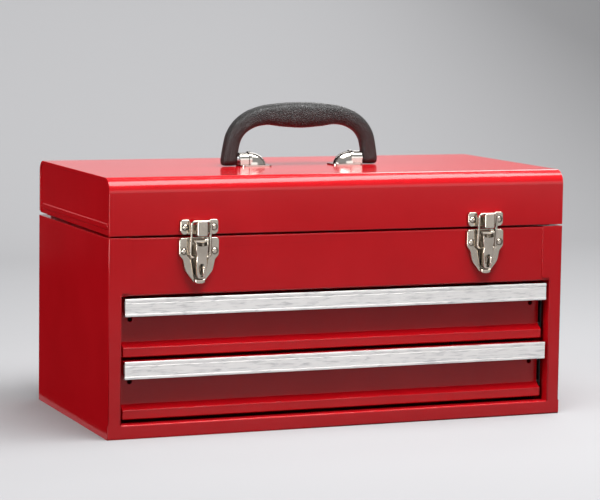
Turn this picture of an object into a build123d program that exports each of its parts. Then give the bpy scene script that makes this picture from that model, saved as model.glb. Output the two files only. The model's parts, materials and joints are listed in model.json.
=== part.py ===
"""Portable steel tool case: a lidded top tray over two drawers, with a folding carry
handle and two draw latches.

Millimetres. X runs to the right, Y to the back and Z up. The origin is the middle of
the case's underside, so the case stands on z = 0 and its front faces -Y.
"""

from build123d import *
import os

# Case
case_width = 443.0
case_depth = 218.0
apron_height = 51.0  # from its lower edge to the top edge of the case
sheet = 0.8  # painted steel sheet
bend = 1.2  # mid line radius of an ordinary bend
edge_round = 0.5
stile_width = 12.6  # front posts left and right of the drawers
stile_return = 10.6  # how far their inner edges turn back
tab_width = 20.7  # wider top of each stile
tab_overhang = 2.5  # the tabs start this far over the apron's lower edge
tab_corner = 3.0
rail_height = 12.7  # front flange of the bottom pan
rail_return = 10.0
pan_flange = 10.0
apron_gap = 2.4  # from the upper drawer's pull to the apron
apron_return = 6.0
hem = 8.0  # inward flange along the top edges
till_flange = 8.0
clear = 0.3  # between neighbours that move or stand apart
shaft_clear = 0.05  # radial, between a pin and what turns on it

# Lid
lid_height = 52.0
lid_inset = 0.5  # the lid's ends stand in from the case's sides
front_gap = 1.5  # seam between the case and the lid's front
rear_gap = 4.0
lid_front_radius = 13.0
lid_rear_radius = 10.0
rim_width = 3.5  # edge of the lid sheet that frames each end panel
end_flange = 8.0
lid_hem = 7.5
end_seam_front = 1.7  # seam under the end panels
end_seam_rear = 4.2
bead_height = 5.2
bead_proud = 1.2
bead_crest_round = 1.0
bead_rise = 9.5  # from the case's top edge to the bead's middle
bead_front = 6.0  # from the front plane to the bead's end
bead_rear = 9.0

# Piano hinge inside the back
hinge_end_gap = 11.5  # from the case's sides
hinge_knuckles = 15
hinge_pin_radius = 0.9
hinge_barrel = 1.8
hinge_axis_inset = 1.5  # from the back's outer face
hinge_leaf = 12.0
hinge_sheet = 0.8

# Drawers
drawer_pitch = 55.2
drawer_floor_gap = 3.3  # from the rail to the lower drawer
side_gap = 3.6  # from the stile to the drawer front's end
face_depth = 14.4  # the recessed face, behind the front plane
lip_depth = 7.8
lip_height = 7.9
shelf_rise = 4.7
front_top = drawer_pitch - 3.2  # top flange over the drawer's lip bottom
front_flange = 26.0
front_bend = 0.8
hem_depth = 1.8
hem_drop = 8.0
return_depth = 1.8
box_top = drawer_pitch - 10.2
box_hem = 4.0
face_hole_radius = 2.2
face_hole_inset = 3.1
face_hole_z = 32.5

# Aluminium pulls
pull_height = 15.7
pull_end_gap = 3.1  # from the stile to the pull's end
pull_wall = 1.6
pull_bottom = front_top - 15.3  # over the drawer's lip bottom
pull_lip = 4.0
pull_lip_wall = 1.2
pull_low_band = 2.3
pull_top_band = 3.4
pull_groove = 0.5
pull_groove_depth = 0.7
pull_recess = 0.3
pull_rib = 1.0
pull_rib_low = 5.0
pull_seat = 0.05

# Ball bearing slides
slide_rear_gap = 10.7  # from the slides to the back
slide_thickness = 10.0
slide_middle = 24.0  # over the drawer's lip bottom
slide_setback = 16.5
slide_steel = 1.0
slide_travel = 130.0
cage_length = 56.0
slide_bend = 0.6
slide_side_gap = 0.5  # between the two members' facing sides
raceway_lip = 1.9  # turned edge that keeps the balls in
drawer_lip = 1.6
cage_steel = 0.6
cage_reach = 7.2  # from the case member's back
ball_radius = 1.6
ball_offset = 5.0  # from the case member's back
ball_rise = 12.9
ball_hole_clear = 0.08
balls_per_row = 6
ball_pitch = 9.0
slide_rivet_radius = 2.0
slide_rivet_head = 3.2
slide_rivet_head_height = 0.7
slide_rivet_inset = 22.0
post_face = 16.0
post_flange = 8.0
post_inset = 20.5
post_depth = 10.7

# Draw latches, at each side of the front; their heights are from the case's top edge,
# and what stands out is measured from the front plane
latch_inset = 82.0  # from the case's sides to the latches' middles
latch_sheet = 1.0
press_round = 0.9  # bends of the pressed plates
strike_half_width = 17.7
strike_bottom = 1.9
strike_top = 15.1
strike_notch = 8.5  # half the width between the two lobes
strike_notch_depth = 5.0
lobe_out = 4.0
lobe_corner = 2.4
lobe_foot = 4.2  # the lobes' lower corners
hook_half_width = 5.5
hook_bottom = 0.3
hook_top = 15.2
hook_out = 12.8
hook_draft = 3.0  # degrees
hook_corner = 2.2
hook_round = 1.2
hook_lip = 1.1
base_half_width = 18.5
base_out = 3.9
base_top = -0.8
base_shoulder = -16.2
base_waist = (14.9, -20.2)
base_flank = (12.9, -30.0)
base_tip = 3.9
base_bottom = -41.2
base_rounds = [3.0, 4.0, 6.0, 12.0, 6.0]  # of its corners from the top down
well_half_width = 10.9  # the recess that the loop and the lever lie in
well_shoulder = (7.9, -19.5)
well_foot = (4.4, -36.9)
well_turn = 3.0  # over the shoulder, where its sides set inwards
well_round = 1.2
tongue_half_width = 4.8
tongue_out = 7.2
tongue_round = 1.5
rivet_x_strike = 13.3
rivet_z_strike = 8.4
rivet_x_base = 14.1
rivet_z_base = -12.6
rivet_head = 2.9
rivet_head_height = 1.8
rivet_shank = 1.5
rivet_tail = 2.3
rivet_tail_height = 1.0
dimple_radius = 3.5
dimple_depth = 0.7
pivot_z = -3.6
pivot_out = 7.4
lever_pin_radius = 1.0
lever_pin_head = 1.6
lever_pin_head_height = 0.8
knuckle_radius = 2.05
knuckle_half_width = 4.5
ear_radius = 2.3
lever_half_width = 5.7
lever_top = -7.0
lever_top_dip = 0.9  # how far the top edge sags between the ears
lever_shoulder = -11.5
lever_neck = (4.5, -16.2)
lever_hip = (5.1, -21.8)
lever_foot = 3.9
lever_tip_z = -36.4
lever_rounds = [4.0, 6.0, 8.0, 3.4]  # of its corners from the top down
lever_heel = -33.4  # where its sides rise to the tip
lever_out_top = 11.6
lever_out_neck = 11.2
lever_out_tip = 9.7
lever_back = 1.7  # where its sides end, in front of the front plane
ear_wall = 0.8  # round the loop's hole
link_wire = 1.1
link_half_width = 8.9
link_low_z = -17.8
link_low_out = 5.6
link_high_z = 13.7
link_high_out = 8.9
link_corner = 2.5
staple_wire = 0.9
staple_low = -33.2
staple_high = -24.8
staple_out = 16.8
staple_corner = 1.8
staple_slot_high = 1.6  # the lever's slot over the staple
staple_slot_low = 2.0
staple_slot_side = 0.6

# Carry handle
pivot_rise = 6.3  # handle axis over the lid
grip_inner = 62.6
grip_outer = 78.5
grip_leg_depth = 11.8
grip_rise = 40.75  # from the axis to the middle of the grip's top section
grip_pin_radius = 5.0
grip_core_radius = 3.2
grip_core_reach = 12.0
grip_foot_round = 5.2
grip_roundness = 0.45  # corner radius of a section, as a share of its smaller side
grip_pin_shoulder = 61.6  # where the pin steps down into the leg
bracket_outer_end = 61.4
bracket_wall = 1.25
bracket_flange_corner = 4.0
bracket_inner_end = 34.3
bracket_nose_half_depth = 7.6
bracket_tongue = 30.8
bracket_flange = 1.2
bracket_half_depth = 10.0
bracket_ring_x = 51.3
bracket_ring_width = 2.5
bracket_ring_proud = 1.0
bracket_pin_end = 48.0
screw_radius = 1.5
screw_x = 44.0
screw_spacing = 7.0
screw_reach = 5.0
screw_head = 2.9
screw_head_height = 1.8
screw_head_round = 0.7

front = -case_depth / 2
back = case_depth / 2
half = case_width / 2
latch_x = half - latch_inset
wall_inside = half - sheet
apron_face = front + sheet
apron_back = apron_face + sheet
lower_drawer = rail_height + drawer_floor_gap
slide_wall = wall_inside - post_depth
box_half_width = slide_wall - slide_thickness
face_hole_x = box_half_width - face_hole_inset
drawer_bases = {"lower": lower_drawer, "upper": lower_drawer + drawer_pitch}
apron_bottom = drawer_bases["upper"] + pull_bottom + pull_height + apron_gap
seam_height = apron_bottom + apron_height
lid_top = seam_height + lid_height
bead_middle = seam_height + bead_rise
tab_bottom = apron_bottom + tab_overhang
opening_half = half - stile_width
front_half = opening_half - side_gap
pull_half_width = opening_half - pull_end_gap
hinge_length = case_width - 2 * hinge_end_gap
hinge_y = back - hinge_axis_inset
hinge_z = seam_height + rear_gap / 2
slide_length = case_depth - sheet - slide_setback - slide_rear_gap
lid_half = half - lid_inset
end_face = lid_half - sheet
handle_z = lid_top + pivot_rise
sides = {"left": -1, "right": 1}


def side_plane(x, z=0.0):
    """A sketch plane square to X: the sketch's x runs to the back and its y up from z."""
    return Plane(origin=(x, 0, z), x_dir=(0, 1, 0), z_dir=(1, 0, 0))


def front_plane(y, x=0.0, z=0.0):
    """A sketch plane seen from the front, with its normal towards the viewer."""
    return Plane(origin=(x, y, z), x_dir=(1, 0, 0), z_dir=(0, -1, 0))


def latch_side(x):
    """A side plane whose heights are from the case's top edge."""
    return side_plane(x, seam_height)


def latch_front(y, x=0.0):
    """A front plane whose heights are from the case's top edge."""
    return front_plane(y, x, seam_height)


def folded(points, radius=bend, thickness=sheet):
    """Draws the section of a folded sheet from its mid line, in the open sketch."""
    with BuildLine() as path:
        FilletPolyline(*points, radius=radius)
    trace(path.edges(), line_width=thickness)


def block(low, high, mode=Mode.ADD):
    """A plain block between two corners, in the open part."""
    size = [b - a for a, b in zip(low, high)]
    with Locations(tuple((a + b) / 2 for a, b in zip(low, high))):
        Box(*size, mode=mode)


def save(part, name):
    """Labels a finished piece and writes it to its own file."""
    part.label = name
    export_step(part, f"parts/{name}.step")


def make_body_shell():
    """The back, sides and front stiles, one wrapped sheet with the sides' top hems."""
    mid = half - sheet / 2
    mid_front = front + sheet / 2
    mid_back = back - sheet / 2
    around_back = [(mid, mid_front), (mid, mid_back), (-mid, mid_back), (-mid, mid_front)]
    inner = opening_half + sheet / 2
    stile_end = (inner, front + stile_return)
    tab_inner = half - tab_width
    with BuildPart() as shell:
        with BuildSketch(Plane.XY):
            folded([(mid, apron_face), (mid, mid_back), (-mid, mid_back), (-mid, apron_face)])
        extrude(amount=rail_height)
        with BuildSketch(Plane.XY.offset(rail_height)):
            folded(
                [stile_end, (inner, mid_front)]
                + around_back
                + [(-inner, mid_front), (-inner, front + stile_return)]
            )
        extrude(amount=apron_bottom - rail_height)
        with BuildSketch(Plane.XY.offset(apron_bottom)):
            folded([(opening_half, mid_front)] + around_back + [(-opening_half, mid_front)])
        extrude(amount=tab_bottom - apron_bottom)
        with BuildSketch(Plane.XY.offset(tab_bottom)):
            folded([(tab_inner, mid_front)] + around_back + [(-tab_inner, mid_front)])
        extrude(amount=seam_height - tab_bottom)
        lower = [
            edge
            for edge in shell.edges().filter_by(Axis.Y)
            if abs(abs(edge.center().X) - tab_inner) < sheet / 4
            and abs(edge.center().Z - tab_bottom) < sheet / 4
        ]
        fillet(lower, radius=tab_corner)
        for side in sides.values():
            outer_x, inner_x = side * (wall_inside + sheet / 2), side * (half - hem)
            block(
                (min(outer_x, inner_x), apron_back + hem + clear, seam_height - sheet),
                (max(outer_x, inner_x), hinge_y - hinge_barrel - clear, seam_height),
            )
    return shell.part


def make_bottom_pan():
    """The floor with its up-turned edges; its front flange is the case's bottom rail."""
    rail_top = rail_height - sheet / 2
    mid_front = front + sheet / 2
    mid_back = back - sheet * 1.5
    returned = opening_half - clear
    with BuildPart() as pan:
        with BuildSketch(side_plane(-returned)):
            folded(
                [
                    (front + rail_return, rail_top),
                    (mid_front, rail_top),
                    (mid_front, sheet / 2),
                    (mid_back, sheet / 2),
                    (mid_back, pan_flange),
                ]
            )
        extrude(amount=2 * returned)
        with BuildSketch(side_plane(-wall_inside)):
            folded(
                [
                    (mid_front, rail_height),
                    (mid_front, sheet / 2),
                    (mid_back, sheet / 2),
                    (mid_back, pan_flange),
                ]
            )
        extrude(amount=wall_inside - returned)
        with BuildSketch(side_plane(returned)):
            folded(
                [
                    (mid_front, rail_height),
                    (mid_front, sheet / 2),
                    (mid_back, sheet / 2),
                    (mid_back, pan_flange),
                ]
            )
        extrude(amount=wall_inside - returned)
        for side in sides.values():
            end, inside = side * half, side * wall_inside
            block(
                (min(end, inside), front, bend),
                (max(end, inside), apron_face, rail_height),
            )
            flange_in = side * (wall_inside - sheet)
            block(
                (min(inside, flange_in), apron_back + bend, sheet / 2),
                (max(inside, flange_in), mid_back, pan_flange),
            )
            corner = side * (wall_inside - bend)
            block(
                (min(inside, corner), back - sheet - bend, 0),
                (max(inside, corner), back - sheet, pan_flange),
                mode=Mode.SUBTRACT,
            )
    return pan.part


def make_front_apron():
    """The fixed front over the drawers, which carries the latches."""
    apron_half = wall_inside - bend
    mid_y = apron_face + sheet / 2
    with BuildPart() as apron:
        with BuildSketch(side_plane(-apron_half)):
            folded(
                [
                    (apron_face + apron_return, apron_bottom + sheet / 2),
                    (mid_y, apron_bottom + sheet / 2),
                    (mid_y, seam_height - sheet / 2),
                    (apron_face + hem, seam_height - sheet / 2),
                ]
            )
        extrude(amount=2 * apron_half)
        with BuildSketch(latch_front(apron_face)):
            with Locations(*rivet_places(rivet_x_base, rivet_z_base)):
                Circle(rivet_shank + shaft_clear)
        extrude(amount=-sheet, mode=Mode.SUBTRACT)
    return apron.part


def make_till_floor():
    """The tray's floor, an upturned pan between the tray and the drawers."""
    floor_z = apron_bottom + sheet
    low = (-wall_inside, apron_back + bend, floor_z)
    high = (wall_inside, back - sheet, floor_z + till_flange)
    with BuildPart() as floor:
        block(low, high)
        block(
            (low[0] + sheet, low[1] + sheet, floor_z + sheet),
            (high[0] - sheet, high[1] - sheet, high[2] + sheet),
            mode=Mode.SUBTRACT,
        )
        upright = floor.edges().filter_by(Axis.Z)
        fillet([edge for edge in upright if edge.length > till_flange - sheet / 2], radius=bend)
    return floor.part


def make_slide_post(side, end):
    """A hat-section post from the side wall out to the slides."""
    middle = post_middle(end)
    wall = wall_inside - sheet / 2
    face = slide_wall + sheet / 2
    near, far = post_face / 2, post_face / 2 + post_flange
    points = [(wall, -far), (wall, -near), (face, -near), (face, near), (wall, near), (wall, far)]
    with BuildPart() as post:
        with BuildSketch(Plane.XY.offset(pan_flange)):
            folded([(side * x, middle + y) for x, y in points])
        extrude(amount=apron_bottom + sheet - pan_flange)
        with BuildSketch(side_plane(0)):
            with Locations(*[(middle, base + slide_middle) for base in drawer_bases.values()]):
                Circle(slide_rivet_radius + shaft_clear)
        extrude(amount=side * (face + sheet), mode=Mode.SUBTRACT)
    return post.part


def post_middle(end):
    """Where a post stands, from front to back."""
    slide_front = front + slide_setback
    offset = post_inset if end == "front" else slide_length - post_inset
    return slide_front + offset


def slide_section(points, side, base, thickness=slide_steel):
    """Draws a slide member's section; u is measured from the case member's back."""
    placed = [(side * (slide_wall - u), base + slide_middle + z) for u, z in points]
    folded(placed, radius=slide_bend, thickness=thickness)


def make_case_slide(side, base):
    """The slide member riveted to the posts: a channel that opens to the drawer."""
    mid = slide_steel / 2
    rise = ball_rise + ball_radius + clear + mid
    reach = slide_thickness - slide_steel - slide_side_gap
    lip = rise - raceway_lip
    with BuildPart() as member:
        with BuildSketch(front_plane(front + slide_setback + slide_length)):
            slide_section(
                [
                    (reach - mid, lip), (reach - mid, rise), (mid, rise),
                    (mid, -rise), (reach - mid, -rise), (reach - mid, -lip),
                ],
                side,
                base,
            )
        extrude(amount=slide_length)
        with BuildSketch(side_plane(0)):
            with Locations(*[(post_middle(end), base + slide_middle) for end in ("front", "rear")]):
                Circle(slide_rivet_radius + shaft_clear)
        extrude(amount=side * half, mode=Mode.SUBTRACT)
    return member.part


def make_drawer_slide(side, base):
    """The slide member on the drawer's side, whose flanges run inside the balls."""
    mid = slide_steel / 2
    web = slide_thickness - mid
    rise = ball_rise - ball_radius - clear - mid
    lip = slide_steel + cage_steel + 2 * clear + mid
    edge = rise + drawer_lip
    with BuildPart() as member:
        with BuildSketch(front_plane(front + slide_setback + slide_length)):
            slide_section(
                [(lip, edge), (lip, rise), (web, rise), (web, -rise), (lip, -rise), (lip, -edge)],
                side,
                base,
            )
        extrude(amount=slide_length)
        with BuildSketch(side_plane(0)):
            with Locations(*[(y, base + slide_middle) for y in drawer_rivet_places()]):
                Circle(slide_rivet_radius + shaft_clear)
        extrude(amount=side * half, mode=Mode.SUBTRACT)
    return member.part


def drawer_rivet_places():
    """The drawer rivets' places from front to back."""
    slide_front = front + slide_setback
    return (slide_front + slide_rivet_inset, slide_front + slide_length - slide_rivet_inset)


def cage_middle():
    """The ball cage's middle at rest: at full travel it lies where both members meet."""
    slide_front = front + slide_setback
    overlap = slide_length - slide_travel
    return slide_front + overlap / 2 + slide_travel / 2


def ball_places(side, base):
    """The ball centres of one cage."""
    x = side * (slide_wall - ball_offset)
    start = cage_middle() - (balls_per_row - 1) * ball_pitch / 2
    return [
        (x, start + ball_pitch * i, base + slide_middle + row * ball_rise)
        for row in (-1, 1)
        for i in range(balls_per_row)
    ]


def make_ball_cage(side, base):
    """The strip that spaces the balls, folded round the drawer member's edges."""
    web = slide_steel + clear + cage_steel / 2
    rise = ball_rise
    with BuildPart() as cage:
        with BuildSketch(front_plane(cage_middle() + cage_length / 2)):
            slide_section(
                [(cage_reach, rise), (web, rise), (web, -rise), (cage_reach, -rise)],
                side,
                base,
                thickness=cage_steel,
            )
        extrude(amount=cage_length)
        with Locations(*ball_places(side, base)):
            Cylinder(ball_radius + ball_hole_clear, 2 * ball_radius, mode=Mode.SUBTRACT)
    return cage.part


def make_balls(side, base):
    """The loose balls of one cage."""
    with BuildPart() as balls:
        with Locations(*ball_places(side, base)):
            Sphere(ball_radius)
    return balls.part


def make_case_slide_rivets():
    """Flush rivets through the case members and the posts."""
    with BuildPart() as rivets:
        for side in sides.values():
            spots = [
                (post_middle(end), base + slide_middle)
                for end in ("front", "rear")
                for base in drawer_bases.values()
            ]
            with BuildSketch(side_plane(side * (slide_wall - slide_steel))):
                with Locations(*spots):
                    Circle(slide_rivet_radius)
            extrude(amount=side * (slide_steel + sheet))
            with BuildSketch(side_plane(side * (slide_wall + sheet))):
                with Locations(*spots):
                    Circle(slide_rivet_head)
            extrude(amount=side * slide_rivet_head_height)
    return rivets.part


def make_drawer_rivets(base):
    """Rivets that hold the slide members to one drawer's sides."""
    with BuildPart() as rivets:
        for side in sides.values():
            spots = [(y, base + slide_middle) for y in drawer_rivet_places()]
            with BuildSketch(side_plane(side * (box_half_width - sheet))):
                with Locations(*spots):
                    Circle(slide_rivet_radius)
            extrude(amount=side * (sheet + slide_steel))
            with BuildSketch(side_plane(side * (box_half_width + slide_steel))):
                with Locations(*spots):
                    Circle(slide_rivet_head)
            extrude(amount=side * slide_rivet_head_height)
            with BuildSketch(side_plane(side * (box_half_width - sheet))):
                with Locations(*spots):
                    Circle(slide_rivet_head)
            extrude(amount=-side * slide_rivet_head_height)
    return rivets.part


def make_drawer_box(base):
    """The drawer's open box, with its top edges turned in."""
    box_front = front + face_depth + sheet
    box_back = front + slide_setback + slide_length
    low = (-box_half_width, box_front, base + sheet)
    high = (box_half_width, box_back, base + box_top)
    with BuildPart() as box:
        block(low, high)
        fillet(box.edges().filter_by(Axis.Z), radius=bend)
        block(
            (low[0] + sheet, low[1] + sheet, low[2] + sheet),
            (high[0] - sheet, high[1] - sheet, high[2] - sheet),
            mode=Mode.SUBTRACT,
        )
        block(
            (low[0] + box_hem, low[1] + sheet, high[2] - 2 * sheet),
            (high[0] - box_hem, high[1] - box_hem, high[2] + sheet),
            mode=Mode.SUBTRACT,
        )
        with BuildSketch(side_plane(0)):
            with Locations(*[(y, base + slide_middle) for y in drawer_rivet_places()]):
                Circle(slide_rivet_radius + shaft_clear)
        extrude(amount=half, both=True, mode=Mode.SUBTRACT)
        face_holes(base, front + face_depth, 2 * sheet)
    return box.part


def face_holes(base, y, depth):
    """Cuts the round holes near each end of the drawer's face."""
    with BuildSketch(front_plane(y)) as holes:
        with Locations(*[(side * face_hole_x, base + face_hole_z) for side in sides.values()]):
            Circle(face_hole_radius)
    extrude(holes.sketch, amount=-depth, mode=Mode.SUBTRACT)


def make_drawer_front(base):
    """The recessed drawer face: a top flange for the pull, a sloped shelf and a lip."""
    mid = sheet / 2
    face = front + face_depth + mid
    top = base + front_top - mid
    lip = front + lip_depth + mid
    with BuildPart() as panel:
        with BuildSketch(side_plane(-front_half)):
            folded(
                [
                    (front + hem_depth + mid, top - hem_drop),
                    (front + hem_depth + mid, top),
                    (face, top),
                    (face, base + lip_height + shelf_rise),
                    (lip, base + lip_height),
                    (lip, base + mid),
                    (front + front_flange, base + mid),
                ],
                radius=front_bend,
            )
        extrude(amount=2 * front_half)
        for side in sides.values():
            with BuildSketch(side_plane(side * (front_half - sheet))):
                Polygon(
                    (front + lip_depth + mid, base + mid),
                    (front + lip_depth + mid, base + lip_height - mid),
                    (front + face_depth + mid, base + lip_height + shelf_rise - mid),
                    (front + face_depth + mid, base + mid),
                    align=None,
                )
            extrude(amount=side * sheet)
            with BuildSketch(side_plane(side * (front_half - sheet))):
                Polygon(
                    (front + face_depth, base + lip_height + shelf_rise),
                    (front + face_depth, base + front_top - 2 * sheet),
                    (front + face_depth + return_depth, base + front_top - 2 * sheet),
                    (front + face_depth + return_depth, base + lip_height + shelf_rise),
                    align=None,
                )
            extrude(amount=side * sheet)
        face_holes(base, front + face_depth, 2 * sheet)
    return panel.part


def make_pull(base):
    """The extruded aluminium pull, hooked on the drawer front's hem."""
    low = base + pull_bottom
    high = low + pull_height
    groove_high = high - pull_top_band
    groove_low = groove_high - pull_groove
    rib_front = front + hem_depth + sheet + pull_seat
    rib_back = rib_front + pull_rib
    slot_front = front + pull_wall
    slot_low = base + front_top - sheet / 2 - hem_drop - pull_seat
    rib_high = base + front_top - sheet - clear
    outline = [
        (front, high),
        (front, groove_high),
        (front + pull_groove_depth, groove_high),
        (front + pull_groove_depth, groove_low),
        (front + pull_recess, groove_low),
        (front + pull_recess, low + pull_low_band),
        (front, low + pull_low_band),
        (front, low + edge_round),
        (front + edge_round, low),
        (front + pull_lip, low),
        (front + pull_lip, low + pull_lip_wall),
        (slot_front, low + pull_lip_wall),
        (slot_front, low + pull_rib_low),
        (rib_back, low + pull_rib_low),
        (rib_back, rib_high),
        (rib_front, rib_high),
        (rib_front, slot_low),
        (slot_front, slot_low),
        (slot_front, high),
    ]
    with BuildPart() as pull:
        with BuildSketch(side_plane(-pull_half_width)):
            Polygon(*outline, align=None)
        extrude(amount=2 * pull_half_width)
    return pull.part


def make_lid_shell():
    """The lid's front, top and back in one sheet, framed by a rim at each end."""
    radii = [lid_front_radius, lid_rear_radius]

    def path(inset):
        return [
            (front + inset, seam_height + front_gap),
            (front + inset, lid_top - inset),
            (back - inset, lid_top - inset),
            (back - inset, seam_height + rear_gap),
        ]

    def band(width):
        inset = width / 2
        folded(path(inset), radius=[r - inset for r in radii], thickness=width)

    hem_half = end_face - end_flange - clear
    with BuildPart() as shell:
        with BuildSketch(side_plane(-lid_half)):
            band(sheet)
        extrude(amount=2 * lid_half)
        for side in sides.values():
            with BuildSketch(side_plane(side * end_face)):
                band(rim_width)
            extrude(amount=side * sheet)
        hem_low = seam_height + front_gap
        block((-hem_half, apron_face, hem_low), (hem_half, apron_back, hem_low + lid_hem))
        rounded = [
            edge
            for edge in shell.edges().filter_by(Axis.X)
            if abs(edge.center().Y - front) < edge_round
            and abs(edge.center().Z - hem_low) < edge_round
        ]
        fillet(rounded, radius=edge_round)
        with BuildSketch(latch_front(front)):
            with Locations(*rivet_places(rivet_x_strike, rivet_z_strike)):
                Circle(rivet_shank + shaft_clear)
        extrude(amount=-2 * sheet, mode=Mode.SUBTRACT)
        with BuildSketch(Plane.XY.offset(lid_top)):
            with Locations(*screw_places()):
                Circle(screw_radius + shaft_clear)
        extrude(amount=-sheet, mode=Mode.SUBTRACT)
    return shell.part


def make_lid_end(side):
    """A pressed end panel set in the lid's rim, with its stiffening bead."""
    low_front = seam_height + end_seam_front
    low_rear = seam_height + end_seam_rear
    bead_length = case_depth - bead_front - bead_rear
    bead_y = front + bead_front + bead_length / 2

    def outline(inset):
        with BuildLine() as edge:
            FilletPolyline(
                (front + sheet + inset, low_front + inset),
                (front + sheet + inset, lid_top - sheet - inset),
                (back - sheet - inset, lid_top - sheet - inset),
                (back - sheet - inset, low_rear + inset),
                radius=[lid_front_radius - sheet - inset, lid_rear_radius - sheet - inset],
            )
            Line(
                (back - sheet - inset, low_rear + inset),
                (front + sheet + inset, low_front + inset),
            )
        make_face(edge.edges())

    with BuildPart() as panel:
        with BuildSketch(side_plane(side * end_face)):
            outline(0)
        extrude(amount=-side * end_flange)
        with BuildSketch(side_plane(side * (end_face - sheet))):
            outline(sheet)
        extrude(amount=-side * end_flange, mode=Mode.SUBTRACT)
        with BuildSketch(side_plane(side * end_face)):
            with Locations((bead_y, bead_middle)):
                SlotOverall(bead_length, bead_height)
        extrude(amount=side * bead_proud)
        crest = panel.faces().filter_by(Axis.X).sort_by(Axis.X)[-1 if side > 0 else 0]
        fillet(crest.edges(), radius=bead_crest_round)
        with BuildSketch(side_plane(side * (end_face - sheet))):
            with Locations((bead_y, bead_middle)):
                SlotOverall(bead_length - 2 * sheet, bead_height - 2 * sheet)
        extrude(amount=side * bead_proud, mode=Mode.SUBTRACT)
    return panel.part


def make_hinge_leaf(upper):
    """One leaf of the piano hinge, with every other knuckle."""
    knuckle = hinge_length / hinge_knuckles
    way = 1 if upper else -1
    plate_near = hinge_z + way * (hinge_barrel + clear)
    plate_far = hinge_z + way * (rear_gap / 2 + hinge_leaf)
    leaf_back = back - sheet
    leaf_front = leaf_back - hinge_sheet
    mine = range(1 if upper else 0, hinge_knuckles, 2)
    with BuildPart() as leaf:
        block(
            (-hinge_length / 2, leaf_front, min(plate_near, plate_far)),
            (hinge_length / 2, leaf_back, max(plate_near, plate_far)),
        )
        for i in mine:
            start = -hinge_length / 2 + i * knuckle + clear / 2
            end = start + knuckle - clear
            with BuildSketch(side_plane(start)):
                with Locations((hinge_y, hinge_z)):
                    Circle(hinge_barrel)
                with BuildLine():
                    Polyline(
                        (leaf_front, hinge_z),
                        (leaf_back, hinge_z),
                        (leaf_back, plate_near),
                        (leaf_front, plate_near),
                        close=True,
                    )
                make_face()
                with Locations((hinge_y, hinge_z)):
                    Circle(hinge_pin_radius + shaft_clear, mode=Mode.SUBTRACT)
            extrude(amount=end - start)
    return leaf.part


def make_hinge_pin():
    """The wire that runs through all the knuckles."""
    with BuildPart() as pin:
        with BuildSketch(side_plane(-hinge_length / 2)):
            with Locations((hinge_y, hinge_z)):
                Circle(hinge_pin_radius)
        extrude(amount=hinge_length)
    return pin.part


def rivet_places(x, z):
    """The two rivets of a latch plate, at each latch."""
    return [(side * latch_x + way * x, z) for side in sides.values() for way in (-1, 1)]


def make_rivets(x, z, face, out, grip):
    """Domed rivets that sit in a latch plate's dimples and hold it to the sheet."""
    seat = face - out + dimple_depth
    head_sphere = (rivet_head**2 + rivet_head_height**2) / (2 * rivet_head_height)
    with BuildPart() as rivets:
        with BuildSketch(latch_front(seat)):
            with Locations(*rivet_places(x, z)):
                Circle(rivet_shank)
        extrude(amount=-(face - seat) - grip)
        with BuildSketch(latch_front(face + grip)):
            with Locations(*rivet_places(x, z)):
                Circle(rivet_tail)
        extrude(amount=-rivet_tail_height)
        for px, pz in rivet_places(x, z):
            with BuildSketch(latch_side(px)):
                with BuildLine():
                    RadiusArc(
                        (seat - rivet_head_height, pz), (seat, pz + rivet_head), head_sphere
                    )
                    Polyline(
                        (seat, pz + rivet_head), (seat, pz), (seat - rivet_head_height, pz)
                    )
                make_face()
            revolve(axis=Axis((px, 0, seam_height + pz), (0, 1, 0)))
    return rivets.part


def press(part, pads, face, out, spots):
    """Turns flat outlines into hollow pads that stand out from a latch plate, with their
    edges bent round and a dimple for each rivet. It works in the open part."""
    for pad in pads:
        extrude(pad, amount=out)
    crests = [
        crest
        for crest in part.faces().filter_by(Axis.Y)
        if abs(crest.center().Y - face + out) < shaft_clear
    ]
    fillet([edge for crest in crests for edge in crest.edges()], radius=press_round)
    for pad in pads:
        inside = offset(pad, amount=-latch_sheet, mode=Mode.PRIVATE)
        extrude(inside, amount=out - latch_sheet, mode=Mode.SUBTRACT)
    seat = out - dimple_depth
    rounds = [
        (seat - latch_sheet, dimple_radius + latch_sheet, latch_sheet, Mode.ADD),
        (seat, dimple_radius, dimple_depth, Mode.SUBTRACT),
        (0, rivet_shank + shaft_clear, out, Mode.SUBTRACT),
    ]
    for start, radius, depth, mode in rounds:
        with BuildSketch(latch_front(face - start)) as discs:
            with Locations(*spots):
                Circle(radius)
        extrude(discs.sketch, amount=depth, mode=mode)


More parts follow.
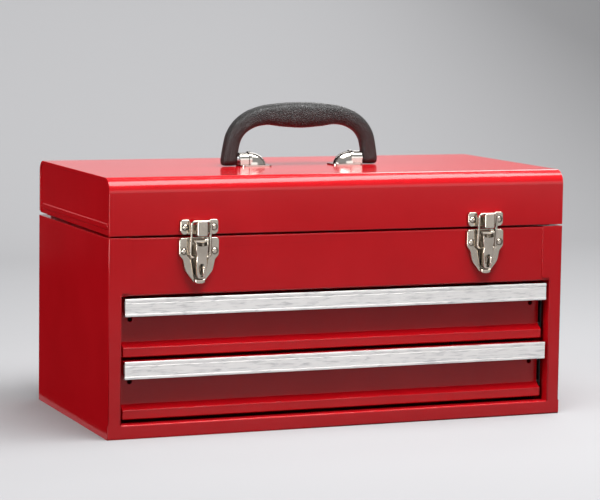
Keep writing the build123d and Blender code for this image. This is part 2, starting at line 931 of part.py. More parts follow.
def make_strike(side):
    """The lid's latch plate: two riveted lobes and the hook that the loop drops behind."""
    x = side * latch_x
    middle_z = (strike_bottom + strike_top) / 2
    height = strike_top - strike_bottom
    lobe_width = strike_half_width - strike_notch
    spots = [(x + way * rivet_x_strike, rivet_z_strike) for way in (-1, 1)]
    lobes = []
    for way in (-1, 1):
        with BuildSketch(latch_front(front, x)) as lobe:
            with Locations((way * (strike_notch + lobe_width / 2), middle_z)):
                Rectangle(lobe_width, height)
            fillet(lobe.vertices().sort_by(Axis.Y)[:2], radius=lobe_foot)
            fillet(lobe.vertices().sort_by(Axis.Y)[-2:], radius=lobe_corner)
        lobes.append(lobe.sketch)
    with BuildPart() as hook:
        with BuildSketch(latch_front(front, x)):
            with Locations((0, (hook_bottom + hook_top) / 2)):
                RectangleRounded(2 * hook_half_width, hook_top - hook_bottom, hook_corner)
        extrude(amount=hook_out, taper=hook_draft)
        crest = hook.faces().filter_by(Axis.Y).sort_by(Axis.Y)[0]
        fillet(crest.edges(), radius=hook_round)
        seat = link_high_z - link_wire - clear
        block(
            (x - 2 * hook_half_width, front - hook_out + hook_lip, seam_height + seat),
            (x + 2 * hook_half_width, front, seam_height + 2 * hook_top),
            mode=Mode.SUBTRACT,
        )
    with BuildPart() as strike:
        with BuildSketch(latch_front(front, x)):
            with Locations((0, middle_z - strike_notch_depth / 2)):
                Rectangle(2 * (strike_notch + latch_sheet), height - strike_notch_depth)
        extrude(amount=latch_sheet)
        press(strike, lobes, front, lobe_out, spots)
        add(hook.part)
    return strike.part


def base_outline():
    """Draws the latch base's outline, a shield with a round tip, in the open sketch."""
    with BuildLine() as edge:
        FilletPolyline(
            (0, base_top), (base_half_width, base_top), (base_half_width, base_shoulder),
            base_waist, base_flank, (base_tip, base_bottom), (0, base_bottom),
            radius=base_rounds,
        )
        Line((0, base_bottom), (0, base_top))
    make_face(edge.edges())
    mirror(about=Plane.YZ)


def make_latch_base(side):
    """The case's latch plate: a pressed shield with a well for the lever, the barrel
    that carries the lever's pin, and a tongue under the lever's tip."""
    x = side * latch_x
    plate = latch_front(apron_face, x)
    spots = [(x + way * rivet_x_base, rivet_z_base) for way in (-1, 1)]
    well = [
        (well_half_width, base_top + clear), (well_half_width, well_shoulder[1] + well_turn),
        well_shoulder, well_foot,
    ]
    with BuildSketch(plate) as hollow:
        Polygon(*well, *[(-u, v) for u, v in well[::-1]], align=None)
        fillet([corner for corner in hollow.vertices() if corner.Y < base_top], radius=well_round)
    with BuildSketch(plate) as pad:
        base_outline()
        add(hollow.sketch_local, mode=Mode.SUBTRACT)
    with BuildPart() as base:
        with BuildSketch(plate):
            base_outline()
        extrude(amount=latch_sheet)
        press(base, [pad.sketch], apron_face, base_out + sheet, spots)
        with BuildSketch(plate):
            base_outline()
            with Locations((0, base_bottom)):
                Rectangle(
                    2 * tongue_half_width, 2 * (well_foot[1] - base_bottom), mode=Mode.INTERSECT
                )
        extrude(amount=tongue_out + sheet)
        crest = base.faces().filter_by(Axis.Y).sort_by(Axis.Y)[0]
        fillet(crest.edges(), radius=tongue_round)
        with BuildSketch(latch_side(x - knuckle_half_width)):
            with Locations((apron_face - latch_sheet / 2, pivot_z)):
                Rectangle(
                    pivot_out + sheet - latch_sheet / 2, 2 * knuckle_radius,
                    align=(Align.MAX, Align.CENTER),
                )
            with Locations((front - pivot_out, pivot_z)):
                Circle(knuckle_radius)
                Circle(lever_pin_radius + shaft_clear, mode=Mode.SUBTRACT)
        extrude(amount=2 * knuckle_half_width)
    return base.part


def lever_plan():
    """Draws the lever seen from the front, a waisted tongue, in the open sketch. It runs
    up past the ears, which the side view cuts off."""
    with BuildLine() as edge:
        FilletPolyline(
            (lever_half_width, hook_top), (lever_half_width, lever_shoulder), lever_neck,
            lever_hip, (lever_foot, lever_tip_z), (0, lever_tip_z),
            radius=lever_rounds,
        )
        Polyline((0, lever_tip_z), (0, hook_top), (lever_half_width, hook_top))
    make_face(edge.edges())
    mirror(about=Plane.YZ)


def make_lever(side):
    """The latch lever: a waisted channel whose ears turn on the pin and hold the loop."""
    x = side * latch_x
    pin_y, loop_y = front - pivot_out, front - link_low_out
    inner = lever_half_width - latch_sheet
    slot_half = staple_wire + staple_slot_side
    front_line = [
        (front - lever_out_top, lever_top),
        (front - lever_out_neck, lever_neck[1]),
        (front - lever_out_tip, lever_tip_z - clear),
    ]
    with BuildPart() as hollow:
        with BuildSketch(latch_front(front, x)):
            lever_plan()
            offset(amount=-latch_sheet, mode=Mode.REPLACE)
        extrude(amount=2 * lever_out_top)
        with BuildSketch(latch_side(x - lever_half_width)):
            Polygon(
                *[(y + latch_sheet, z) for y, z in front_line],
                (front, lever_tip_z - clear), (front, 0), (front - lever_out_top + latch_sheet, 0),
                align=None,
            )
        extrude(amount=2 * lever_half_width, mode=Mode.INTERSECT)
    with BuildPart() as lever:
        with BuildSketch(latch_front(front, x)):
            lever_plan()
        extrude(amount=2 * lever_out_top)
        with BuildSketch(latch_side(x - lever_half_width)):
            Polygon(
                *front_line,
                (front - link_low_out, lever_tip_z - clear),
                (front - lever_back, lever_heel),
                (front - lever_back, lever_hip[1]),
                (loop_y + link_wire + ear_wall, link_low_z),
                (pin_y + ear_radius, pivot_z),
                (pin_y - ear_radius, pivot_z),
                align=None,
            )
            with Locations((pin_y, pivot_z)):
                Circle(ear_radius)
        extrude(amount=2 * lever_half_width, mode=Mode.INTERSECT)
        crests = [face for face in lever.faces() if face.normal_at().Y < -0.9]
        rims = [
            edge for crest in crests for edge in crest.edges()
            if abs(edge.center().X - x) > lever_foot - latch_sheet
            or edge.center().Z < seam_height + lever_heel
        ]
        fillet(rims, radius=press_round)
        add(hollow.part, mode=Mode.SUBTRACT)
        with BuildSketch(latch_front(front, x)):
            with BuildLine():
                ThreePointArc((-inner, lever_top), (0, lever_top - lever_top_dip), (inner, lever_top))
                Polyline((inner, lever_top), (inner, 0), (-inner, 0), (-inner, lever_top))
            make_face()
        extrude(amount=2 * lever_out_top, mode=Mode.SUBTRACT)
        with BuildSketch(latch_front(front - link_low_out, x)):
            with Locations((0, staple_high + staple_slot_high)):
                Rectangle(
                    2 * slot_half, staple_high - staple_low + staple_slot_high + staple_slot_low,
                    align=(Align.CENTER, Align.MAX),
                )
        extrude(amount=lever_out_top, mode=Mode.SUBTRACT)
        with BuildSketch(latch_side(x - lever_half_width)):
            with Locations((pin_y, pivot_z)):
                Circle(lever_pin_radius + shaft_clear)
            with Locations((loop_y, link_low_z)):
                Circle(link_wire + shaft_clear)
        extrude(amount=2 * lever_half_width, mode=Mode.SUBTRACT)
    return lever.part


def make_link(side):
    """The closed wire loop, held by the lever, whose top bar lies in the lid's hook."""
    x = side * latch_x
    low = Vector(x, front - link_low_out, seam_height + link_low_z)
    high = Vector(x, front - link_high_out, seam_height + link_high_z)
    up = (high - low).normalized()
    loop_plane = Plane(origin=(low + high) * 0.5, x_dir=(1, 0, 0), z_dir=Vector(1, 0, 0).cross(up))
    length = (high - low).length
    with BuildPart() as link:
        with BuildLine(loop_plane):
            FilletPolyline(
                (0, -length / 2),
                (link_half_width, -length / 2),
                (link_half_width, length / 2),
                (0, length / 2),
                radius=link_corner,
            )
        with BuildSketch(Plane(origin=low, x_dir=(0, 1, 0), z_dir=(1, 0, 0))):
            Circle(link_wire)
        sweep()
        mirror(about=Plane(origin=low, x_dir=(0, 1, 0), z_dir=(1, 0, 0)))
    return link.part


def make_latch_pin(side):
    """The lever's pin, headed at both ends."""
    x = side * latch_x
    reach = lever_half_width + shaft_clear
    with BuildPart() as pin:
        with BuildSketch(latch_side(x - reach)):
            with Locations((front - pivot_out, pivot_z)):
                Circle(lever_pin_radius)
        extrude(amount=2 * reach)
        for way in (-1, 1):
            with BuildSketch(latch_side(x + way * reach)):
                with Locations((front - pivot_out, pivot_z)):
                    Circle(lever_pin_head)
            extrude(amount=way * lever_pin_head_height)
    return pin.part


def make_staple(side):
    """The eye that stands through the lever's slot, for a padlock."""
    x = side * latch_x
    root = front + sheet - latch_sheet
    with BuildPart() as staple:
        with BuildLine(latch_side(x)):
            FilletPolyline(
                (root, staple_low + staple_wire),
                (front - staple_out + staple_wire, staple_low + staple_wire),
                (front - staple_out + staple_wire, staple_high - staple_wire),
                (root, staple_high - staple_wire),
                radius=staple_corner,
            )
        with BuildSketch(latch_front(root, x)):
            with Locations((0, staple_low + staple_wire)):
                Circle(staple_wire)
        sweep()
    return staple.part


def grip_stations():
    """Sections of the grip's right half: the middle's x and its rise over the axis, the
    section's tilt in degrees, its size in the arch's plane and from front to back. They
    follow the leg's middle, the rise, and the leg's width and depth in these shares."""
    leg_x = (grip_inner + grip_outer) / 2
    leg_width = grip_outer - grip_inner
    shares = [
        (1.0014, 0.0, 0.0, 0.9874, 0.9915),
        (0.978, 0.292, 6.0, 0.9308, 1.1017),
        (0.9426, 0.5178, 25.0, 0.9308, 1.2373),
        (0.8639, 0.7227, 48.0, 0.9623, 1.3729),
        (0.7158, 0.9006, 62.0, 1.044, 1.4915),
        (0.5315, 0.9914, 73.0, 1.1572, 1.6102),
        (0.2835, 1.0037, 85.0, 1.3836, 1.7373),
        (0.0, 1.0, 90.0, 1.5094, 1.7797),
    ]
    return [
        (leg_x * x, grip_rise * rise, tilt, leg_width * wide, grip_leg_depth * deep)
        for x, rise, tilt, wide, deep in shares
    ]


def make_grip():
    """The moulded grip: an arch with a palm swell, its legs rounded about the axis."""
    right = grip_stations()
    left = [(-x, rise, 180 - tilt, wide, deep) for x, rise, tilt, wide, deep in right[-2::-1]]
    with BuildPart() as grip:
        for x, rise, tilt, wide, deep in right + left:
            across = Vector(1, 0, 0).rotate(Axis.Y, -tilt)
            along = Vector(0, 0, 1).rotate(Axis.Y, -tilt)
            section = Plane(origin=(x, 0, handle_z + rise), x_dir=across, z_dir=along)
            with BuildSketch(section):
                RectangleRounded(wide, deep, min(wide, deep) * grip_roundness)
        loft()
        for side in sides.values():
            with BuildPart(mode=Mode.PRIVATE) as foot:
                with BuildSketch(side_plane(side * grip_inner)):
                    with Locations((0, handle_z)):
                        Circle(grip_leg_depth / 2)
                extrude(amount=side * (grip_outer - grip_inner))
                rims = foot.edges().filter_by(GeomType.CIRCLE).sort_by(Axis.X)
                fillet(rims[-1 if side > 0 else 0], radius=grip_foot_round)
            add(foot.part)
            with BuildSketch(side_plane(side * bracket_pin_end)):
                with Locations((0, handle_z)):
                    Circle(grip_core_radius)
            bore_end = grip_inner + grip_core_reach
            extrude(amount=side * (bore_end - bracket_pin_end), mode=Mode.SUBTRACT)
    return grip.part


def make_handle_pin(side):
    """The steel pin moulded into a leg, which turns in its bracket."""
    with BuildPart() as pin:
        with BuildSketch(side_plane(side * bracket_pin_end)):
            with Locations((0, handle_z)):
                Circle(grip_pin_radius)
        extrude(amount=side * (grip_pin_shoulder - bracket_pin_end))
        with BuildSketch(side_plane(side * grip_pin_shoulder)):
            with Locations((0, handle_z)):
                Circle(grip_core_radius)
        extrude(amount=side * (grip_inner + grip_core_reach - grip_pin_shoulder))
    return pin.part


def screw_places():
    """The handle screws, two to a bracket."""
    return [(side * screw_x, way * screw_spacing / 2) for side in sides.values() for way in (-1, 1)]


def make_bracket(side):
    """The plated saddle that holds one end of the handle: a barrel round the pin with a
    ring, a domed nose and a flange on the lid."""
    radius = grip_pin_radius + bracket_wall
    height = pivot_rise + radius
    nose_length = bracket_ring_x - bracket_inner_end
    middle_x = side * (bracket_tongue + bracket_outer_end) / 2

    def saddle(r, near, far):
        with BuildSketch(side_plane(side * near)) as section:
            with Locations((0, handle_z)):
                Circle(r)
            with Locations((0, lid_top)):
                Rectangle(2 * r, pivot_rise, align=(Align.CENTER, Align.MIN))
            with Locations((0, lid_top)):
                Rectangle(3 * r, 2 * r, align=(Align.CENTER, Align.MAX), mode=Mode.SUBTRACT)
        extrude(section.sketch, amount=side * (far - near))

    with BuildPart() as nose:
        Sphere(height)
        scale(by=(nose_length / height, bracket_nose_half_depth / height, 1))
        with Locations((side * nose_length, 0, height)):
            Box(2 * nose_length, 2 * height, 2 * height, mode=Mode.SUBTRACT)
            with Locations((0, 0, -2 * height)):
                Box(4 * nose_length, 2 * height, 2 * height, mode=Mode.SUBTRACT)
    with BuildPart() as bracket:
        saddle(radius, bracket_ring_x, bracket_outer_end)
        with Locations((side * bracket_ring_x, 0, lid_top)):
            add(nose.part)
        saddle(
            radius + bracket_ring_proud,
            bracket_ring_x - bracket_ring_width / 2,
            bracket_ring_x + bracket_ring_width / 2,
        )
        with BuildSketch(Plane.XY.offset(lid_top)):
            with Locations((middle_x, 0)):
                RectangleRounded(
                    bracket_outer_end - bracket_tongue, 2 * bracket_half_depth, bracket_flange_corner
                )
        extrude(amount=bracket_flange)
        with BuildSketch(side_plane(side * bracket_pin_end)):
            with Locations((0, handle_z)):
                Circle(grip_pin_radius + shaft_clear)
        extrude(amount=side * grip_inner, mode=Mode.SUBTRACT)
        with BuildSketch(Plane.XY.offset(lid_top)):
            with Locations(*screw_places()):
                Circle(screw_radius)
        extrude(amount=screw_reach, mode=Mode.SUBTRACT)
    return bracket.part


def make_handle_screws():
    """Screws up through the lid into the brackets."""
    with BuildPart() as screws:
        with BuildSketch(Plane.XY.offset(lid_top - sheet)):
            with Locations(*screw_places()):
                Circle(screw_radius)
        extrude(amount=sheet + screw_reach)
        with BuildSketch(Plane.XY.offset(lid_top - sheet)):
            with Locations(*screw_places()):
                Circle(screw_head)
        extrude(amount=-screw_head_height)
        fillet(screws.faces().sort_by(Axis.Z)[:4].edges(), radius=screw_head_round)
    return screws.part


def main():
    os.makedirs("parts", exist_ok=True)
    save(make_body_shell(), "body_shell")
    save(make_bottom_pan(), "bottom_pan")
    save(make_front_apron(), "front_apron")
    save(make_till_floor(), "till_floor")
    save(make_case_slide_rivets(), "case_slide_rivets")
    for side_name, side in sides.items():
        for end in ("front", "rear"):
            save(make_slide_post(side, end), f"slide_post_{end}_{side_name}")
        for level, base in drawer_bases.items():
            save(make_case_slide(side, base), f"case_slide_{level}_{side_name}")
            save(make_drawer_slide(side, base), f"drawer_slide_{level}_{side_name}")
            save(make_ball_cage(side, base), f"ball_cage_{level}_{side_name}")
            save(make_balls(side, base), f"slide_balls_{level}_{side_name}")
        save(make_lid_end(side), f"lid_end_{side_name}")
        save(make_strike(side), f"latch_strike_{side_name}")
        save(make_latch_base(side), f"latch_base_{side_name}")
        save(make_lever(side), f"latch_lever_{side_name}")
        save(make_link(side), f"latch_link_{side_name}")
        save(make_latch_pin(side), f"latch_pin_{side_name}")
        save(make_staple(side), f"padlock_staple_{side_name}")
        save(make_handle_pin(side), f"handle_pin_{side_name}")
        save(make_bracket(side), f"handle_bracket_{side_name}")
    for level, base in drawer_bases.items():
        save(make_drawer_box(base), f"drawer_box_{level}")
        save(make_drawer_front(base), f"drawer_front_{level}")
        save(make_pull(base), f"drawer_pull_{level}")
        save(make_drawer_rivets(base), f"drawer_rivets_{level}")
    save(make_lid_shell(), "lid_shell")
    save(make_hinge_leaf(upper=False), "hinge_leaf_case")
    save(make_hinge_leaf(upper=True), "hinge_leaf_lid")
    save(make_hinge_pin(), "hinge_pin")
    save(make_rivets(rivet_x_strike, rivet_z_strike, front, lobe_out, 2 * sheet), "strike_rivets")
    save(make_rivets(rivet_x_base, rivet_z_base, apron_face, base_out + sheet, sheet), "base_rivets")
    save(make_grip(), "handle_grip")
    save(make_handle_screws(), "handle_screws")


main()
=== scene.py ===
# %% [markdown]
# # A steel tool case in gloss red enamel
#
# The case is a lidded top tray over two drawers. Its solids come packed from the CAD
# step, already in place and in metres. This lesson gives them their finishes, and swaps
# a few of them for finer surfaces where the eye would notice: the moulded grip, the
# brushed pulls and the rounded edges of the enamelled sheets.

import json
import math

import bmesh
import bpy
import numpy as np
from mathutils import Matrix, Vector


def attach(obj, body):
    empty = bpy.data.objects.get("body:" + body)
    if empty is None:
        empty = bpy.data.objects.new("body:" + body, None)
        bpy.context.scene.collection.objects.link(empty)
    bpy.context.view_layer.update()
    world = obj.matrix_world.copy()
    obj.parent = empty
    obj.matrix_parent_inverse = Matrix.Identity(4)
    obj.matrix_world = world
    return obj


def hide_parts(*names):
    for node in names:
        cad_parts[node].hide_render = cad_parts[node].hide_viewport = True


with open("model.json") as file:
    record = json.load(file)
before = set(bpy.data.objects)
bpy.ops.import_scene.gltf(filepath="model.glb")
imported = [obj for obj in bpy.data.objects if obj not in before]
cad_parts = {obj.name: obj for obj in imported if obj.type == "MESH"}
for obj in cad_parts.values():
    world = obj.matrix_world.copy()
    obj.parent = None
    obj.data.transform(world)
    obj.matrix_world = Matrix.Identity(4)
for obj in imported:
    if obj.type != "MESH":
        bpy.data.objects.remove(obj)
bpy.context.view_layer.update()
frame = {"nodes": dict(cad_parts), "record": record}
nodes = frame["nodes"]
mm = 0.001

# %% [markdown]
# ## The camera
#
# A photograph has a place where its lens stood. A pinhole camera was fitted to the
# case's corners, so the same corners land on the same pixels here. The lens looks
# slightly down from the left. The picture is a crop, so its optical middle isn't the
# picture's middle: the camera's shift takes that up.

# %% Camera
picture_width, picture_height = 600, 500
focal_pixels = 2371.1
optical_middle = (282.54, 217.98)
camera_place = Vector((-839.2, -2053.2, 398.9)) * mm
yaw, pitch, roll = (math.radians(a) for a in (21.839, 5.666, 0.778))


def camera_axes():
    """Right, up and forward of the fitted camera: yaw about Z, then pitch, then roll."""
    flat_part = math.cos(pitch)
    ahead = Vector((math.sin(yaw) * flat_part, math.cos(yaw) * flat_part, -math.sin(pitch)))
    level = Vector((math.cos(yaw), -math.sin(yaw), 0.0))
    above = level.cross(ahead)
    right = level * math.cos(roll) + above * math.sin(roll)
    return right, right.cross(ahead), ahead


def add_camera():
    """The fitted camera. Its lens is focal_pixels on a sensor as wide as the picture."""
    data = bpy.data.cameras.new("camera")
    data.sensor_width = 36.0
    data.lens = focal_pixels / picture_width * data.sensor_width
    data.shift_x = (picture_width / 2 - optical_middle[0]) / picture_width
    data.shift_y = (optical_middle[1] - picture_height / 2) / picture_width
    data.clip_start, data.clip_end = 0.05, 30.0
    camera = bpy.data.objects.new("camera", data)
    bpy.context.scene.collection.objects.link(camera)
    right, up, ahead = camera_axes()
    turn = Matrix((right, up, -ahead)).transposed().to_4x4()
    camera.matrix_world = Matrix.Translation(camera_place) @ turn
    bpy.context.scene.camera = camera
    return camera


camera = add_camera()
print("lens", round(camera.data.lens, 2), "mm")

# %% [markdown]
# ## Two small helpers
#
# Colours are written as sRGB hex values, as a paint chart gives them, and one function
# turns them to the linear values that a shader wants. A material is a few nodes, so one
# function adds a node with its settings and links.


# %% Colour and node helpers
def linear(code, alpha=1.0):
    """An sRGB hex colour such as "#A01020" as linear red, green, blue and alpha."""
    parts = [int(code[i : i + 2], 16) / 255 for i in (1, 3, 5)]
    flat = [c / 12.92 if c <= 0.04045 else ((c + 0.055) / 1.055) ** 2.4 for c in parts]
    return (*flat, alpha)


def add_node(tree, kind, inputs=None, **settings):
    """Adds a node. Its inputs are values, or outputs of other nodes to link."""
    node = tree.nodes.new(kind)
    for name, value in settings.items():
        setattr(node, name, value)
    for name, value in (inputs or {}).items():
        if isinstance(value, bpy.types.NodeSocket):
            tree.links.new(value, node.inputs[name])
        else:
            node.inputs[name].default_value = value
    return node


def new_material(name, **shader):
    """A material with one Principled shader, whose sockets get plain values."""
    material = bpy.data.materials.new(name)
    material.use_nodes = True
    tree = material.node_tree
    principled = tree.nodes["Principled BSDF"]
    for socket, value in shader.items():
        principled.inputs[socket.replace("_", " ")].default_value = value
    return material, tree, principled


def wavelength(millimetres):
    """The Scale of a noise texture on Object coordinates, from its size in mm."""
    return 1.0 / (millimetres * mm)


# %% [markdown]
# ## The studio
#
# A plain pale floor runs up into a plain pale wall through a soft curve. It is pale for
# the camera and in reflections, but the light that it throws back on the case is as
# little as a dark bench gives, so the recesses under the pulls stay deep red. The wall
# has one side only: from behind, its transparent back lets the eye through to the case.

# %% Floor and wall
floor_half = 3.2
floor_front = -5.0
wall_distance = 1.9
sweep_radius = 0.7
wall_height = 3.4


def make_stage():
    """The floor's profile from front to back, then a quarter circle up into the wall,
    drawn out sideways."""
    angles = np.linspace(0, np.pi / 2, 25)
    arc_y = wall_distance - sweep_radius + sweep_radius * np.sin(angles)
    arc_z = sweep_radius * (1 - np.cos(angles))
    y = np.concatenate([[floor_front], arc_y, [wall_distance]])
    z = np.concatenate([[0.0], arc_z, [wall_height]])
    count = len(y)
    points = np.zeros((2, count, 3))
    points[0, :, 0], points[1, :, 0] = -floor_half, floor_half
    points[..., 1], points[..., 2] = y, z
    first = np.arange(count - 1)
    quads = np.stack([first, first + count, first + count + 1, first + 1], axis=1)
    mesh = bpy.data.meshes.new("studio_sweep")
    mesh.from_pydata(points.reshape(-1, 3).tolist(), [], quads.tolist())
    mesh.shade_smooth()
    stage = bpy.data.objects.new("studio_sweep", mesh)
    bpy.context.scene.collection.objects.link(stage)
    return stage


def seen_rays(tree):
    """One for a ray from the camera, or a reflected or refracted one, and else nought."""
    rays = add_node(tree, "ShaderNodeLightPath")
    seen = rays.outputs["Is Camera Ray"]
    for kind in ("Is Glossy Ray", "Is Transmission Ray"):
        larger = add_node(
            tree, "ShaderNodeMath", {0: seen, 1: rays.outputs[kind]}, operation="MAXIMUM"
        )
        seen = larger.outputs[0]
    return seen


stage = make_stage()
pale_paper, tree, shader = new_material("pale_paper", Roughness=0.9, Specular_IOR_Level=0.1)
seen = seen_rays(tree)
paper = add_node(
    tree, "ShaderNodeMix",
    {"Factor": seen, "A": linear("#1E1E1E"), "B": linear("#A9A9AB")},
    data_type="RGBA",
)
tree.links.new(paper.outputs["Result"], shader.inputs["Base Color"])
behind = add_node(tree, "ShaderNodeNewGeometry").outputs["Backfacing"]
clear = add_node(tree, "ShaderNodeBsdfTransparent")
one_sided = add_node(
    tree, "ShaderNodeMixShader", {0: behind, 1: shader.outputs["BSDF"], 2: clear.outputs["BSDF"]}
)
tree.links.new(one_sided.outputs[0], tree.nodes["Material Output"].inputs["Surface"])
stage.data.materials.append(pale_paper)
print("stage", tuple(round(v, 2) for v in stage.dimensions))


# %% [markdown]
# ## The lamps
#
# Most of the light falls from a wide soft box that hangs close over the case and a little
# in front. Light that steep makes the lid the brightest face, fades down the front, and
# leaves the pulls' shadow on the drawers. A panel low in front shows only as a faint
# sheen in the enamel. A lamp on the left keeps that side red, one behind the case lights
# the wall, and a weak one at the back shows the hinge side. A small panel low on the left
# shows only in gloss: it draws the fine bright line along each rounded edge. A black card
# on the left, which only reflections see, does what a photographer's flag does: it keeps
# the pale room out of the gloss on that side.


# %% Lamps, flag and world
def add_lamp(name, place, target, width, height, power, only_gloss=False):
    """A soft box: a rectangular area lamp that faces a point. The camera can't see it.
    With only_gloss it lights no surface and is only reflected."""
    data = bpy.data.lights.new(name, "AREA")
    data.shape = "RECTANGLE"
    data.size, data.size_y = width, height
    data.energy = power
    lamp = bpy.data.objects.new(name, data)
    bpy.context.scene.collection.objects.link(lamp)
    lamp.location = place
    lamp.rotation_euler = (Vector(target) - Vector(place)).to_track_quat("-Z", "Y").to_euler()
    lamp.visible_camera = False
    lamp.visible_diffuse = not only_gloss
    return lamp


def add_flag():
    """A black card: a strip on the floor from the case's side, then up at its far edge."""
    near, far, first, last, top, lift = -0.228, -0.50, -0.25, 1.55, 0.95, 0.001
    line = np.array([(near, lift), (far, lift), (far, top)])
    points = np.zeros((2, 3, 3))
    points[..., 0], points[..., 2] = line[:, 0], line[:, 1]
    points[0, :, 1], points[1, :, 1] = first, last
    mesh = bpy.data.meshes.new("left_flag")
    mesh.from_pydata(points.reshape(-1, 3).tolist(), [], [(0, 1, 4, 3), (1, 2, 5, 4)])
    flag = bpy.data.objects.new("left_flag", mesh)
    bpy.context.scene.collection.objects.link(flag)
    flag.visible_camera = flag.visible_shadow = flag.visible_diffuse = False
    black_cloth, _, _ = new_material(
        "black_cloth", Base_Color=linear("#101010"), Roughness=1.0, Specular_IOR_Level=0.0
    )
    mesh.materials.append(black_cloth)
    return flag


# name, place and target in metres, width, height, watts
add_lamp("key_softbox", (0.2, -0.36, 1.2), (0.0, -0.05, 0.18), 1.3, 0.6, 30)
add_lamp("front_panel", (0.75, -1.75, 0.42), (0.1, 0, 0.25), 1.3, 0.7, 4.5)
add_lamp("left_softbox", (-1.6, -0.25, 0.8), (0, 0, 0.14), 0.8, 0.8, 16)
add_lamp("wall_lamp", (0.0, 0.75, 1.5), (0.3, 1.9, 0.5), 2.0, 0.3, 22)
add_lamp("back_softbox", (1.1, 1.5, 1.0), (0.0, 0.1, 0.15), 0.9, 0.6, 7)
add_lamp(
    "edge_strip", (-0.86, -0.66, 0.14), (-0.22, -0.11, 0.14), 0.5, 0.5, 11, only_gloss=True
)
flag = add_flag()

world = bpy.data.worlds.new("studio_air")
world.use_nodes = True
bpy.context.scene.world = world
sky = world.node_tree.nodes["Background"]
sky.inputs["Color"].default_value = linear("#FFFFFF")
strength = add_node(
    world.node_tree, "ShaderNodeMapRange",
    {"Value": seen_rays(world.node_tree), "To Min": 0.12, "To Max": 0.5},
)
world.node_tree.links.new(strength.outputs["Result"], sky.inputs["Strength"])
bpy.context.scene.view_settings.view_transform = "Standard"

# %% [markdown]
# ## Gloss red enamel
#
# The sheet metal is stove enamelled: a saturated red under a hard gloss skin. Sprayed
# enamel is never perfectly flat. It has an orange peel about 2 mm across, far too weak
# to see as bumps but enough to soften a mirror image, and thin sheet bows by a few
# hundredths of a millimetre over a hand's width. Both are noise bumps in real sizes. The
# tint drifts a little, because the coat is thinner in some places than in others.


# %% Enamel
def red_enamel():
    """Red stove enamel: IOR 1.46, clear gloss, orange peel and a bowed sheet under it."""
    material, tree, shader = new_material(
        "gloss_red_stove_enamel",
        Roughness=0.14,
        IOR=1.46,
        Specular_IOR_Level=0.35,
    )
    place = add_node(tree, "ShaderNodeTexCoord").outputs["Object"]
    drift = add_node(
        tree, "ShaderNodeTexNoise",
        {"Vector": place, "Scale": wavelength(70), "Detail": 3.0, "Roughness": 0.55},
    )
    tint = add_node(tree, "ShaderNodeValToRGB", {"Fac": drift.outputs["Fac"]})
    tint.color_ramp.elements[0].position = 0.3
    tint.color_ramp.elements[0].color = linear("#C00C16")
    tint.color_ramp.elements[1].position = 0.7
    tint.color_ramp.elements[1].color = linear("#CA101B")
    tree.links.new(tint.outputs["Color"], shader.inputs["Base Color"])
    bow = add_node(
        tree, "ShaderNodeTexNoise", {"Vector": place, "Scale": wavelength(110), "Detail": 1.0}
    )
    peel = add_node(
        tree, "ShaderNodeTexNoise", {"Vector": place, "Scale": wavelength(2.2), "Detail": 1.0}
    )
    sheet = add_node(
        tree, "ShaderNodeBump", {"Height": bow.outputs["Fac"], "Strength": 1.0, "Distance": 0.00035}
    )
    skin = add_node(
        tree, "ShaderNodeBump",
        {"Height": peel.outputs["Fac"], "Normal": sheet.outputs["Normal"], "Strength": 0.5,
         "Distance": 0.00001},
    )
    tree.links.new(skin.outputs["Normal"], shader.inputs["Normal"])
    return material


# the enamel gives saturated red under a clear, slightly wavy gloss
enamel = red_enamel()
print("made", enamel.name)

# %% [markdown]
# ## Plated and bare metals
#
# The latches are stamped steel with a satin nickel plate, warmer and greyer than chrome.
# The handle's brackets are bright chrome. Slides, cages and screws are zinc plated. All
# of them are the metal's own colour in the shader, told apart by their roughness. On the
# nickel and chrome an ambient occlusion node darkens the tint where there is less than
# some millimetres of room: painted shade in the folds and gaps.


# %% Metals
def plated_metal(name, dark, light, roughness, mottle, bump=0.000004, painted_shade_reach=None):
    """A plated metal. Its tint and roughness drift over mottle mm, as handling marks
    and uneven plating make them. In gaps narrower than the given reach its tint is darkened as
    painted shade."""
    material, tree, shader = new_material(name, Metallic=1.0)
    place = add_node(tree, "ShaderNodeTexCoord").outputs["Object"]
    cloud = add_node(
        tree, "ShaderNodeTexNoise",
        {"Vector": place, "Scale": wavelength(mottle), "Detail": 4.0, "Roughness": 0.6},
    )
    tint = add_node(
        tree, "ShaderNodeMix",
        {"Factor": cloud.outputs["Fac"], "A": linear(dark), "B": linear(light)},
        data_type="RGBA",
    )
    # painted shade: ambient occlusion darkens the tint towards dark brown in gaps and folds
    # narrower than the reach
    if painted_shade_reach:
        gap_occlusion = add_node(tree, "ShaderNodeAmbientOcclusion", {"Distance": painted_shade_reach * mm}, samples=8)
        unshaded_share = add_node(
            tree, "ShaderNodeMapRange",
            {"Value": gap_occlusion.outputs["AO"], "From Min": 0.15, "From Max": 0.85},
            interpolation_type="SMOOTHSTEP",
        )
        tint = add_node(
            tree, "ShaderNodeMix",
            {"Factor": unshaded_share.outputs["Result"], "A": linear("#3A332D"),
             "B": tint.outputs["Result"]},
            data_type="RGBA",
        )
    haze = add_node(
        tree, "ShaderNodeMapRange",
        {"Value": cloud.outputs["Fac"], "To Min": roughness * 0.8, "To Max": roughness * 1.2},
    )
    fine = add_node(
        tree, "ShaderNodeTexNoise", {"Vector": place, "Scale": wavelength(0.8), "Detail": 2.0}
    )
    grain = add_node(
        tree, "ShaderNodeBump", {"Height": fine.outputs["Fac"], "Strength": 0.6, "Distance": bump}
    )
    tree.links.new(tint.outputs["Result"], shader.inputs["Base Color"])
    tree.links.new(haze.outputs["Result"], shader.inputs["Roughness"])
    tree.links.new(grain.outputs["Normal"], shader.inputs["Normal"])
    return material
